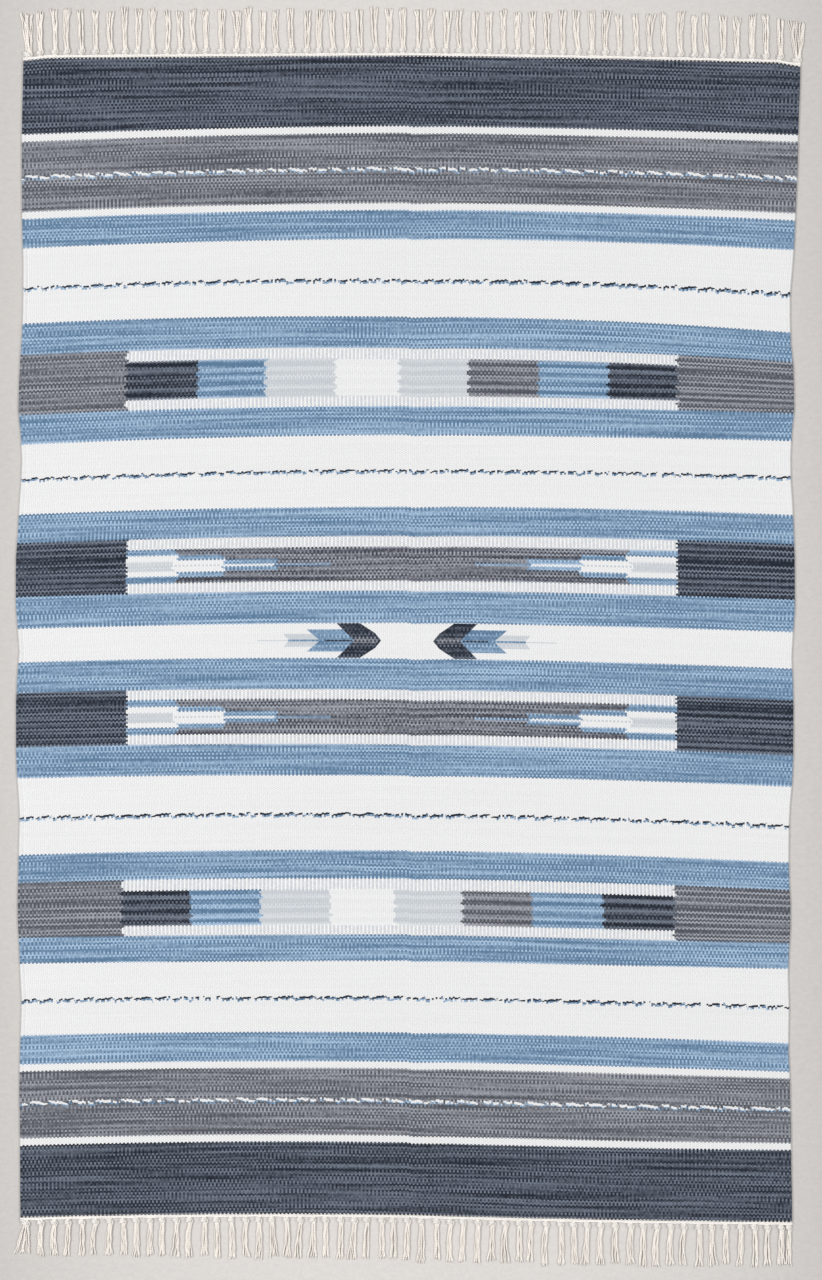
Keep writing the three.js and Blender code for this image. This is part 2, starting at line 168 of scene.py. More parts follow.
# How far a pick of weft sags towards the near end, at both sides and half way to them
WEFT_SAG = table(
    "away left_side left_half right_half right_side",
    (900, 3.9, 1.5, 4.5, 11.6),
    (789, 14.0, 4.3, 5.1, 14.0),
    (615, 14.7, 4.0, 4.5, 17.0),
    (492, 10.6, 0.6, 6.2, 24.8),
    (311, 15.5, 4.3, 3.3, 9.0),
    (199, 12.4, 3.1, 3.1, 13.2),
    (19, 9.3, 2.6, 5.4, 14.3),
    (-37, 5.4, -0.9, 5.3, 15.8),
    (-218, 4.0, -0.6, 6.2, 17.0),
    (-335, 7.1, 0.0, 6.5, 18.6),
    (-505, 4.3, 1.4, 6.7, 12.4),
    (-617, 4.7, -0.5, 6.5, 16.8),
    (-786, 4.7, -1.1, 7.4, 11.6),
    (-900, 4.0, -1.2, 7.1, 11.0),
)

# Twined accent lines: where, their two yarns, how often their slanting runs repeat, how far a run climbs to
# either side of the line, how thick it is to either side, and how far beside it the second yarn lies. All
# share the part of the repeat that a run fills, the jitter and drift, and the shares of missing stitches.
TWINED_LINES = table(
    "away first second repeat climb thick beside",
    (723.5, "white", "blue", 33.0, -2.0, 2.1, 2.6),
    (550.5, "navy", "blue", 29.0, 1.9, 1.75, 2.9),
    (255.5, "navy", "blue", 28.0, 1.6, 1.55, 2.6),
    (-278.0, "navy", "blue", 31.0, 1.8, 1.75, 2.7),
    (-561.5, "navy", "blue", 29.0, 1.8, 1.65, 2.7),
    (-721.5, "white", "blue", 35.0, -2.0, 2.1, 2.6),
)
TWINED_SHARE = 0.97
TWINED_JITTER = 2.4
TWINED_DRIFT = 1.4
TWINED_DRIFT_LENGTH = 140.0
TWINED_GAPS = 0.16
BESIDE_GAPS = 0.35
BESIDE_HALF = 1.7

# Woven bands from the far end to the near end, each down to its near edge
BANDS = table(
    "cloth until",
    ("cream", 898.4), ("navy", 789.3), ("white", 778.2), ("grey", 670.2), ("white", 660.1), ("blue", 614.8),
    ("white", 493.0), ("blue", 444.9), ("grey", 355.8), ("blue", 310.5), ("white", 199.1), ("blue", 153.5),
    ("navy", 68.7), ("blue", 18.9), ("white", -36.2), ("blue", -84.3), ("navy", -170.5), ("blue", -218.2),
    ("white", -334.2), ("blue", -378.0), ("grey", -464.1), ("blue", -505.1), ("white", -616.6),
    ("blue", -660.6), ("white", -671.4), ("grey", -775.5), ("white", -787.0), ("navy", -898.3),
    ("cream", -900.0),
)

# Two bands of blocks: from and to lengthways, the height of their ribbed borders, and the blocks in
# order from the left, each up to its right-hand edge
BLOCK_BANDS = [
    {
        "far": 444.9, "near": 355.8, "border": 16.0, "start": -434.5,
        "blocks": table(
            "cloth until",
            ("navy", -324.6), ("blue", -219.2), ("pale", -110.7), ("white", -11.6),
            ("pale", 95.3), ("grey", 204.5), ("blue", 313.0), ("navy", 420.6),
        ),
    },
    {
        "far": -378.0, "near": -464.1, "border": 15.8, "start": -440.2,
        "blocks": table(
            "cloth until",
            ("navy", -334.5), ("blue", -225.7), ("pale", -118.5), ("white", -19.0),
            ("pale", 87.4), ("grey", 196.2), ("blue", 307.4), ("navy", 420.1),
        ),
    },
]
TOOTH_PITCH = 14.3
TOOTH_DEPTH = 3.2

# Two bands of spearheads that point to the middle from both sides
SPEAR_BANDS = [
    {"far": 153.5, "near": 68.7, "border": 15.6},
    {"far": -84.3, "near": -170.5, "border": 16.4},
]
SPEAR_MIDDLE = -6.0
SPEAR_REACH = 425.0
SPEAR_POINT = 0.9
SPEAR_NOTCH_PITCH = 5.6
SPEAR_NOTCH_DEPTH = 2.0
# From the tip outwards: where each stretch starts, how far off the axis its pointed end slants and turns
# back, and its stripes out to either side of the axis
SPEAR_STRETCHES = table(
    "start slants turns stripes",
    (111.0, 0.0, 60.0, [("blue", 1.5)]),
    (198.0, 20.0, 60.0, [("blue", 8.6), ("white", 1.7)]),
    (280.0, 9.1, 9.1, [("blue", 16.9), ("white", 9.1), ("pale", 1.0)]),
    (358.0, 16.4, 16.4, [("blue", 60.0), ("white", 16.4), ("pale", 7.8)]),
)

# Two arrows that face each other across the middle. Each layer runs from its nose out to its tail, and
# both ends lie further out by their slope for each millimetre off the axis. A blunt nose starts that slope
# later, by this much, and has a gentle one before it.
ARROW_MIDDLE = 0.4
ARROW_AXIS = -8.3
ARROW_LAYERS = table(
    "cloth nose tail half nose_slope tail_slope blunt",
    ("pale", 185.0, 233.0, 0.8, 0.0, 0.0, 0.0),
    ("pale", 131.0, 183.0, 10.6, 0.0, 0.85, 0.0),
    ("blue", 131.0, 185.0, 1.5, 0.0, 0.0, 0.0),
    ("blue", 80.0, 135.2, 17.8, 0.0, 1.15, 0.0),
    ("navy", 86.0, 127.0, 1.2, 0.0, 0.0, 0.0),
    ("navy", 40.4, 82.5, 27.5, 1.5, 0.97, 8.2),
    ("slate", 44.5, 81.5, 4.6, 0.9, 0.97, 0.0),
)
BLUNT_SLOPE = 0.8

# The two ends of the rug: how long the tassels are from left to right, where they leave the header, and
# their thicker corner tassels
ENDS = [
    {
        "node": "fringe_far_end", "name": "far", "facing": 1, "tassels": 55,
        "lengths": table("place length", (-590, 67.3), (-160, 66.8), (175, 65.0), (600, 65.3)),
        "length_waver": 3.5,
        "first": -569.5, "middle": -7.0, "last": 578.8,
        "corners": table("root splay knot_width tip_width yarns",
                         (-587.0, -3.5, 13.0, 20.0, 11), (605.0, 2.6, 13.0, 27.0, 12)),
    },
    {
        "node": "fringe_near_end", "name": "near", "facing": -1, "tassels": 57,
        "lengths": table(
            "place length", (-590, 52.8), (-340, 61.0), (-165, 62.8), (175, 65.1), (470, 62.8)),
        "length_waver": 3.0,
        "first": -567.5, "middle": 0.8, "last": 580.3,
        "corners": table("root splay knot_width tip_width yarns",
                         (-592.0, -5.4, 11.0, 22.0, 10), (592.2, -0.5, 7.6, 8.7, 7)),
    },
]

# Colours of the yarns as they look in even light, the light and the dark strands of each. A cloth's place
# in this table gives the code that stands for it in the material.
YARNS = table(
    "cloth light dark",
    ("white", (0.938, 0.938, 0.940), (0.920, 0.920, 0.924)),
    ("ribbed", (0.965, 0.965, 0.962), (0.800, 0.812, 0.838)),
    ("pale", (0.855, 0.870, 0.885), (0.780, 0.800, 0.825)),
    ("blue", (0.675, 0.775, 0.878), (0.358, 0.486, 0.610)),
    ("grey", (0.635, 0.647, 0.680), (0.315, 0.328, 0.362)),
    ("slate", (0.650, 0.665, 0.705), (0.235, 0.248, 0.290)),
    ("navy", (0.455, 0.488, 0.548), (0.105, 0.135, 0.190)),
    ("cream", (0.945, 0.925, 0.900), (0.900, 0.870, 0.840)),
)
CLOTHS = [row["cloth"] for row in YARNS]

# The floor, which is palest under the rug's middle line through painted light that fades to the sides, and
# the lamps, in metres and watts
FLOOR_COLOUR = (0.824, 0.807, 0.795)
FLOOR_MIDDLE_LIGHT = 1.11
FLOOR_LEAST_LIGHT = 0.90
FLOOR_HALF = 30000.0
FLOOR_DROP = 0.2
LAMPS = table("name side power", ("lamp_left", -1, 151.0), ("lamp_right", 1, 112.0))
LAMP_SIZE = (1.4, 4.4)
LAMP_ASIDE = 3.6
LAMP_HEIGHT = 3.7
LAMP_TILT = math.radians(44)
LAMP_COLOUR = (1.0, 0.99, 0.975)
SKY_COLOUR = (0.97, 0.985, 1.0, 1.0)
SKY_STRENGTH = 0.44

# Slow patches in the mottling of the yarns: their lengths across and along the rug, and their own level of
# the noise, with its detail
PATCHES = table(
    "name across along level detail",
    ("pace", 260.0, 45.0, 11.0, 0.0),
    ("beat", 110.0, 16.0, 23.0, 0.0),
    ("twos", 130.0, 7.0, 37.0, 1.0),
    ("streak", 600.0, 9.0, 51.0, 1.0),
    ("lines", 300.0, 25.0, 91.0, 0.0),
)
MIDDLE_TONE = 0.38
PAIR_YARN_LENGTH = 330.0
PICK_YARN_LENGTH = 190.0
PICKS_A_BEAT = 3.0
PICKS_A_ROW = 6.6
LINES_CLEARER_TO_RIGHT = 0.0003


# Camera: straight above, framed as the photograph


def field_shift():
    """How far the row frame's origin lies from the loom's, found from the field's own box."""
    low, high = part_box("field")
    away = np.linspace(-HALF_LENGTH + EDGE_ROUNDING, HALF_LENGTH - EDGE_ROUNDING, 400)
    left = -np.max(read_table(SIDE_EDGES, "left", away))
    right = np.max(read_table(SIDE_EDGES, "right", away))
    side = np.linspace(-1, 1, 400)
    near = np.min(-HALF_LENGTH - sag_at(side, np.full_like(side, -HALF_LENGTH)))
    far = np.max(HALF_LENGTH - sag_at(side, np.full_like(side, HALF_LENGTH)))
    middle_x = (low[0] + high[0]) / 2 - (left + right) / 2 * MM
    middle_y = (low[1] + high[1]) / 2 - (near + far) / 2 * MM
    return middle_x, middle_y


def read_table(rows, column, away):
    """A column of a table that runs from the far end to the near end, easing between its rows."""
    away = np.asarray(away, float)
    places = values_of(rows, "away")
    values = values_of(rows, column)
    row = np.clip(np.searchsorted(-places, -away, side="left"), 1, len(places) - 1)
    share = np.clip((places[row - 1] - away) / (places[row - 1] - places[row]), 0, 1)
    eased = share * share * (3 - 2 * share)
    return values[row - 1] + (values[row] - values[row - 1]) * eased


def sag_at(side, away):
    """Sag of a pick at a place across the rug: a parabola through middle, half way and side."""
    left = side < 0
    half = np.where(left, read_table(WEFT_SAG, "left_half", away), read_table(WEFT_SAG, "right_half", away))
    whole = np.where(left, read_table(WEFT_SAG, "left_side", away), read_table(WEFT_SAG, "right_side", away))
    reach = np.abs(side)
    return (4 * half - whole) * reach + (2 * whole - 4 * half) * reach * reach


def droop_at(side, away):
    """Droop of the last picks into the far corners."""
    droop = np.where(side < 0, LEFT_CORNER_DROOP, RIGHT_CORNER_DROOP)
    across = np.clip(1 - (1 - np.abs(side)) * HALF_WIDTH / CORNER_DROOP_REACH, 0, 1)
    along = np.clip(1 - (HALF_LENGTH - away) / CORNER_DROOP_REACH, 0, 1)
    return droop * across * along


def fold_step_at(side, away):
    """Step of the picks across the fold mark, which fades towards the right."""
    from_fold = np.maximum(side * HALF_WIDTH, 0)
    rise = np.minimum(from_fold / FOLD_HALF_WIDTH, 1)
    step = FOLD_STEP * rise * np.maximum(1 - from_fold / FOLD_STEP_REACH, 0)
    return np.where(np.abs(away) > FOLD_STEP_END, 0, step)


def edge_at(side, away):
    """Distance of the side edge from the middle line, on the side asked for."""
    return np.where(side < 0, read_table(SIDE_EDGES, "left", away), read_table(SIDE_EDGES, "right", away))


def cloth_place(side, away):
    """A place on the cloth, in loom millimetres, from its place on the loom."""
    y = away - sag_at(side, away) - droop_at(side, away) - fold_step_at(side, away)
    return side * edge_at(side, away), y


def waver(number):
    """Steady unevenness: the same number always gives the same share between -1 and 1."""
    turned = math.sin(number * 12.9898 + 4.1) * 43758.5453
    return 2 * (turned - math.floor(turned)) - 1


SHIFT_X, SHIFT_Y = field_shift()


def new_object(name, data):
    made = bpy.data.objects.new(name, data)
    bpy.context.scene.collection.objects.link(made)
    return made


def make_camera():
    """A camera far enough above the floor for its frame to be the photograph's."""
    data = bpy.data.cameras.new("camera")
    camera = new_object("camera", data)
    data.sensor_width = SENSOR_WIDTH
    data.lens = LENS
    wide, high = PHOTO_SIZE_PX
    frame_height = high * PHOTO_PIXEL * MM
    distance = frame_height * data.lens / data.sensor_width
    aim_x = (wide / 2 - PHOTO_MIDDLE_LINE_PX[0]) * PHOTO_PIXEL * MM + SHIFT_X
    aim_y = (PHOTO_MIDDLE_LINE_PX[1] - high / 2) * PHOTO_PIXEL * MM + SHIFT_Y
    camera.location = (aim_x, aim_y, distance)
    camera.rotation_euler = (0, 0, 0)
    data.clip_start = CLIP_START
    data.clip_end = CLIP_END
    bpy.context.scene.camera = camera


make_camera()


# Meshes from arrays


def together(*values):
    """Arrays and numbers side by side, as the last axis of one array."""
    return np.stack(np.broadcast_arrays(*values), axis=-1)


def link_mesh(name, points, faces, material, corner_uvs=None):
    """A smooth mesh from points in loom millimetres. corner_uvs maps a UV name to one pair a point."""
    places = np.array(points, float) * MM
    places[:, 0] += SHIFT_X
    places[:, 1] += SHIFT_Y
    mesh = bpy.data.meshes.new(name)
    mesh.from_pydata(places.tolist(), [], faces)
    mesh.polygons.foreach_set("use_smooth", np.ones(len(mesh.polygons), bool))
    corners = np.zeros(len(mesh.loops), np.int32)
    mesh.loops.foreach_get("vertex_index", corners)
    for uv_name, pairs in (corner_uvs or {}).items():
        layer = mesh.uv_layers.new(name=uv_name)
        layer.data.foreach_set("uv", np.asarray(pairs, np.float32)[corners].ravel())
    mesh.validate()
    mesh.materials.append(material)
    return new_object(name, mesh)


def sweep(paths, radii, reference, sides, closed=False, lobe=0.0, twist=0.0):
    """Tubes along paths, an array of tubes by stations by three. The section may have two lobes that turn
    by twist radians. radii and twist are arrays of tubes by stations, or less where they repeat. Returns
    points, faces and a (round, along) pair a point."""
    tubes, stations, _ = paths.shape
    if closed:
        ahead = np.roll(paths, -1, axis=1) - np.roll(paths, 1, axis=1)
    else:
        ahead = np.gradient(paths, axis=1)
    ahead /= np.linalg.norm(ahead, axis=2, keepdims=True)
    across = np.cross(ahead, np.asarray(reference, float))
    across /= np.linalg.norm(across, axis=2, keepdims=True)
    upward = np.cross(across, ahead)
    angle = np.arange(sides) / sides * TURN
    turn = np.broadcast_to(twist, (tubes, stations))
    section = 1 - lobe * (0.5 - 0.5 * np.cos(2 * (angle[None, None, :] - turn[:, :, None])))
    reach = np.broadcast_to(radii, (tubes, stations))[:, :, None] * section
    points = (
        paths[:, :, None, :]
        + across[:, :, None, :] * (reach * np.cos(angle))[..., None]
        + upward[:, :, None, :] * (reach * np.sin(angle))[..., None]
    )
    steps = np.linalg.norm(np.diff(paths, axis=1), axis=2)
    along = np.concatenate([np.zeros((tubes, 1)), np.cumsum(steps, axis=1)], axis=1)
    pairs = together(angle / TURN, along[:, :, None])
    number = np.arange(tubes * stations * sides).reshape(tubes, stations, sides)
    here = number if closed else number[:, :-1]
    there = np.roll(number, -1, axis=1) if closed else number[:, 1:]
    quads = together(here, np.roll(here, -1, axis=2), np.roll(there, -1, axis=2), there)
    faces = quads.reshape(-1, 4).tolist()
    if not closed:
        faces += number[:, 0, ::-1].tolist()
        faces += number[:, -1, :].tolist()
    return points.reshape(-1, 3), faces, pairs.reshape(-1, 2)


def join_parts(parts):
    """Joins (points, faces, pairs) parts into one."""
    points, faces, pairs, first = [], [], [], 0
    for part_points, part_faces, part_pairs in parts:
        points.append(part_points)
        pairs.append(part_pairs)
        faces += [[first + corner for corner in face] for face in part_faces]
        first += len(part_points)
    return np.concatenate(points), faces, np.concatenate(pairs)


# Shader nodes


class Net:
    """A material's net of nodes. Its methods add nodes, and most return an output socket."""

    def __init__(self, name):
        self.material = bpy.data.materials.new(name)
        self.material.use_nodes = True
        self.tree = self.material.node_tree
        self.tree.nodes.clear()

    def node(self, kind, inputs=None, **settings):
        """A node with these settings. inputs has what feeds each socket, by its number or name."""
        made = self.tree.nodes.new(kind)
        for key, value in settings.items():
            setattr(made, key, value)
        for key, value in (inputs or {}).items():
            self.feed(made.inputs[key], value)
        return made

    def feed(self, socket, value):
        if isinstance(value, bpy.types.NodeSocket):
            self.tree.links.new(value, socket)
        else:
            socket.default_value = value

    def math(self, operation, *values):
        return self.node("ShaderNodeMath", dict(enumerate(values)), operation=operation).outputs[0]

    add = partialmethod(math, "ADD")
    sub = partialmethod(math, "SUBTRACT")
    mul = partialmethod(math, "MULTIPLY")
    muladd = partialmethod(math, "MULTIPLY_ADD")
    less = partialmethod(math, "LESS_THAN")
    more = partialmethod(math, "GREATER_THAN")
    least = partialmethod(math, "MINIMUM")
    most = partialmethod(math, "MAXIMUM")
    absolute = partialmethod(math, "ABSOLUTE")
    floor = partialmethod(math, "FLOOR")
    fraction = partialmethod(math, "FRACT")
    sine = partialmethod(math, "SINE")
    cosine = partialmethod(math, "COSINE")

    def total(self, start, *terms):
        """start plus the product of each pair in terms."""
        for value, weight in terms:
            start = self.muladd(value, weight, start)
        return start

    def between(self, value, low, high):
        return self.mul(self.more(value, low), self.less(value, high))

    def choose(self, mask, yes, no):
        """A number: yes where mask is 1, and no where it is 0."""
        return self.node("ShaderNodeMix", {0: mask, 2: no, 3: yes}, data_type="FLOAT").outputs[0]

    def blend(self, share, first, second):
        """A colour: first at share 0 and second at share 1."""
        return self.node("ShaderNodeMix", {0: share, 6: first, 7: second}, data_type="RGBA").outputs[2]

    def shade(self, colour, value, gain=1.0, base=0.0):
        """A colour times the sum of base and gain times value."""
        scale = self.muladd(value, gain, base)
        return self.node("ShaderNodeVectorMath", {0: colour, 3: scale}, operation="SCALE").outputs[0]

    def steps(self, value, stops):
        """A ramp that holds each colour until the next stop. stops are (place, colour) pairs."""
        made = self.node("ShaderNodeValToRGB", {0: value})
        ramp = made.color_ramp
        ramp.interpolation = "CONSTANT"
        for _ in range(len(stops) - 2):
            ramp.elements.new(0.5)
        for element, (place, colour) in zip(ramp.elements, stops):
            element.position = place
            element.color = (*colour, 1.0)
        return made.outputs[0]

    def noise(self, x, y, rates, level=0.0, detail=0.0):
        """Smooth noise about 0.5. rates are its patches in a unit of x and y, and each level has its own."""
        across, along = self.mul(x, rates[0]), self.mul(y, rates[1])
        place = self.node("ShaderNodeCombineXYZ", {0: across, 1: along, 2: level}).outputs[0]
        inputs = {"Vector": place, "Scale": 1.0, "Detail": detail, "Roughness": 0.5}
        return self.node("ShaderNodeTexNoise", inputs, noise_dimensions="3D").outputs["Fac"]

    def scatter(self, x, y):
        """A number from 0 to 1 that jumps from place to place."""
        place = self.node("ShaderNodeCombineXYZ", {0: x, 1: y}).outputs[0]
        made = self.node("ShaderNodeTexWhiteNoise", {"Vector": place}, noise_dimensions="2D")
        return made.outputs["Value"]

    def parted(self, vector):
        """The first two parts of a vector."""
        return self.node("ShaderNodeSeparateXYZ", {0: vector}).outputs[:2]

    def map_pair(self, uv_name):
        return self.parted(self.node("ShaderNodeUVMap", uv_map=uv_name).outputs[0])

    def finish(self, colour, roughness, height, bump_distance, bump_strength, sheen):
        bump_inputs = {"Strength": bump_strength, "Distance": bump_distance, "Height": height}
        bump = self.node("ShaderNodeBump", bump_inputs)
        shader = self.node("ShaderNodeBsdfPrincipled", {
            "Base Color": colour, "Roughness": roughness, "Specular IOR Level": 0.15,
            "Sheen Weight": sheen, "Sheen Roughness": 0.6, "Normal": bump.outputs[0],
        })
        self.node("ShaderNodeOutputMaterial", {"Surface": shader.outputs[0]})
        return self.material


def linear(colour):
    """A display colour as the linear light that shaders use."""
    return tuple(c / 12.92 if c <= 0.04045 else ((c + 0.055) / 1.055) ** 2.4 for c in colour)


# The woven field's material

CODE_COUNT = len(CLOTHS) + 1


def code(cloth):
    """The number that stands for a cloth in the middle of its step."""
    return (CLOTHS.index(cloth) + 0.5) / CODE_COUNT


def climb_codes(net, place, steps):
    """The code of the last step that place has passed. steps are (from, cloth) pairs in rising order."""
    found = code(steps[0][1])
    for (_, before), (start, cloth) in zip(steps, steps[1:]):
        found = net.muladd(net.more(place, start), code(cloth) - code(before), found)
    return found


def zigzag(net, v, pitch):
    """A saw line from -1 to 1 along v."""
    return net.muladd(net.math("PINGPONG", v, pitch / 2), 4 / pitch, -1.0)


def add_blocks(net, found, u, v):
    """Lays the two bands of toothed blocks over the bands found so far. Also returns how the stripes of
    the blocks lighten them, where the finely lined end blocks are, and where the blocks are."""
    stripes, lined, inlaid = 0.0, 0.0, 0.0
    for band in BLOCK_BANDS:
        foot = band["near"] + band["border"]
        head = band["far"] - band["border"]
        rise = net.sub(v, foot)
        tooth = net.mul(zigzag(net, rise, TOOTH_PITCH), TOOTH_DEPTH)
        place = net.add(u, tooth)
        in_band = net.between(v, band["near"], band["far"])
        within = net.mul(in_band, net.between(place, band["start"], band["blocks"][-1]["until"]))
        row = net.mul(net.between(v, foot, head), within)
        starts = [band["start"]] + [block["until"] for block in band["blocks"]]
        steps = [(start, block["cloth"]) for start, block in zip(starts, band["blocks"])]
        found = net.choose(within, code("ribbed"), found)
        found = net.choose(row, climb_codes(net, place, steps), found)
        wave = net.cosine(net.mul(rise, TURN / TOOTH_PITCH))
        stripes = net.muladd(wave, row, stripes)
        lined = net.add(lined, net.sub(in_band, within))
        inlaid = net.add(inlaid, row)
    return found, stripes, lined, inlaid


def add_spears(net, found, lined, inlaid, u, v):
    """Lays the two bands of spearheads over the bands found so far. Also returns where the finely lined
    end blocks are, and where anything is inlaid, with these bands added."""
    out = net.absolute(net.sub(u, SPEAR_MIDDLE))
    for band in SPEAR_BANDS:
        foot = band["near"] + band["border"]
        head = band["far"] - band["border"]
        off = net.absolute(net.sub(v, (foot + head) / 2))
        notch = net.mul(zigzag(net, net.sub(v, foot), SPEAR_NOTCH_PITCH), SPEAR_NOTCH_DEPTH)
        reach = net.less(net.add(out, notch), SPEAR_REACH)
        in_band = net.between(v, band["near"], band["far"])
        row = net.mul(net.less(off, (head - foot) / 2), reach)
        found = net.choose(net.mul(in_band, reach), code("ribbed"), found)
        found = net.choose(row, code("slate"), found)
        lined = net.add(lined, net.mul(in_band, net.sub(1.0, reach)))
        inlaid = net.add(inlaid, row)
        for stretch in SPEAR_STRETCHES:
            slant = net.least(off, stretch["slants"])
            turn = net.most(net.sub(off, stretch["turns"]), 0.0)
            start = net.muladd(net.sub(slant, turn), -SPEAR_POINT, stretch["start"])
            here = net.mul(row, net.more(out, start))
            found = net.choose(here, code("slate"), found)
            for cloth, half in stretch["stripes"]:
                found = net.choose(net.mul(here, net.less(off, half)), code(cloth), found)
    return found, lined, inlaid


def add_arrows(net, found, u, v):
    """Lays the two arrows over the middle white band. Also returns where they are."""
    arrow = 0.0
    out = net.absolute(net.sub(u, ARROW_MIDDLE))
    off = net.absolute(net.sub(v, ARROW_AXIS))
    for layer in ARROW_LAYERS:
        lean = net.mul(off, layer["nose_slope"])
        if layer["blunt"]:
            lean = net.most(net.sub(lean, layer["blunt"]), net.mul(off, BLUNT_SLOPE))
        past_nose = net.more(net.sub(out, lean), layer["nose"])
        before_tail = net.less(net.muladd(off, -layer["tail_slope"], out), layer["tail"])
        here = net.mul(net.mul(past_nose, before_tail), net.less(off, layer["half"]))
        found = net.choose(here, code(layer["cloth"]), found)
        arrow = net.most(here, arrow)
    return found, arrow


def add_twining(net, found, u, v):
    """Lays the twined accent lines over the bands: slanting runs of contrasting yarn, one after another,
    broken into stitches, with a second yarn beside each. Also returns where the runs are."""
    rib = rib_number(net, u)
    twined = 0.0
    for line in TWINED_LINES:
        jitter = net.sub(net.scatter(rib, line["away"]), 0.5)
        off = net.muladd(jitter, TWINED_JITTER, net.sub(v, line["away"]))
        drift = net.mul(net.noise(u, line["away"], (1 / TWINED_DRIFT_LENGTH, 1.0)), TWINED_DRIFT)
        turn = net.fraction(net.add(net.muladd(u, 1 / line["repeat"], drift), 20.0))
        rise = net.muladd(turn, 2 * line["climb"], -line["climb"])
        above = net.sub(off, rise)
        run_share = net.least(net.mul(turn, 1 / TWINED_SHARE), 1.0)
        bow = net.sine(net.mul(run_share, math.pi))
        half = net.mul(net.math("POWER", net.most(bow, 0.0), 0.35), line["thick"])
        run = net.less(net.absolute(above), half)
        run = net.mul(run, net.more(net.scatter(rib, line["away"] + 5.0), TWINED_GAPS))
        beside = net.less(net.absolute(net.add(above, line["beside"])), BESIDE_HALF)
        beside = net.mul(beside, net.more(net.scatter(rib, line["away"] + 3.0), BESIDE_GAPS))
        found = net.choose(beside, code(line["second"]), found)
        found = net.choose(run, code(line["first"]), found)
        twined = net.most(run, twined)
    return found, twined


def is_cloth(net, found, cloth):
    """1 where the code found is the cloth's, and 0 elsewhere."""
    start = CLOTHS.index(cloth) / CODE_COUNT
    return net.between(found, start, start + 1 / CODE_COUNT)


def clamped(net, value):
    return net.least(net.most(value, 0.0), 1.0)


def patch(net, name, u, v):
    """The slow patches of a name, as a number about 0.5."""
    row = next(row for row in PATCHES if row["name"] == name)
    return net.noise(u, v, (1 / row["across"], 1 / row["along"]), row["level"], row["detail"])


def rib_number(net, u):
    return net.floor(net.mul(u, 1 / WARP_PITCH))


def strand_tone(net, pick, u, v, lined, even):
    """How light a pick's yarn is where it shows, about 0 to 1. Each pick and each pair of picks has its own
    slow mottling, which makes streaks and wavy lines. A slow beat between two shuttles makes staggered
    rows of dots, and where picks alternate one by one, columns."""
    pair = net.floor(net.mul(pick, 0.5))
    pair_yarn = net.noise(u, pair, (1 / PAIR_YARN_LENGTH, 5.37), 3.0)
    pick_yarn = net.noise(u, pick, (1 / PICK_YARN_LENGTH, 7.31), 9.0)
    pace = patch(net, "pace", u, v)
    beat = net.cosine(net.muladd(pick, TURN / PICKS_A_BEAT, net.mul(pace, 12.0)))
    beat_share = patch(net, "beat", u, v)
    twos = net.cosine(net.mul(pick, math.pi))
    two_share = patch(net, "twos", u, v)
    streak = patch(net, "streak", u, v)
    speck = net.scatter(rib_number(net, u), pick)
    rows = net.cosine(net.muladd(pick, TURN / PICKS_A_ROW, net.mul(pace, 9.0)))
    calmed = net.muladd(lined, -0.75, 1.0)
    return net.total(
        MIDDLE_TONE,
        (net.sub(pair_yarn, 0.5), net.mul(calmed, 1.1)),
        (net.mul(rows, calmed), 0.12),
        (net.sub(pick_yarn, 0.5), net.muladd(even, -0.5, 1.4)),
        (net.mul(beat, net.muladd(beat_share, 1.8, -0.25)), 0.50),
        (net.mul(twos, net.sub(two_share, 0.5)), net.muladd(even, -1.2, 2.0)),
        (net.sub(streak, 0.5), net.mul(calmed, 0.6)),
        (net.sub(speck, 0.5), 0.36),
    )


def fine_lines(net, pick):
    """Light wavy lines every few picks, at uneven steps."""
    pair = net.floor(net.mul(pick, 0.5))
    step = net.muladd(pair, 0.37, net.noise(0.0, pair, (1.0, 0.11), 71.0))
    return net.muladd(net.less(net.fraction(net.add(step, 400.0)), 0.34), 1.1, -0.42)


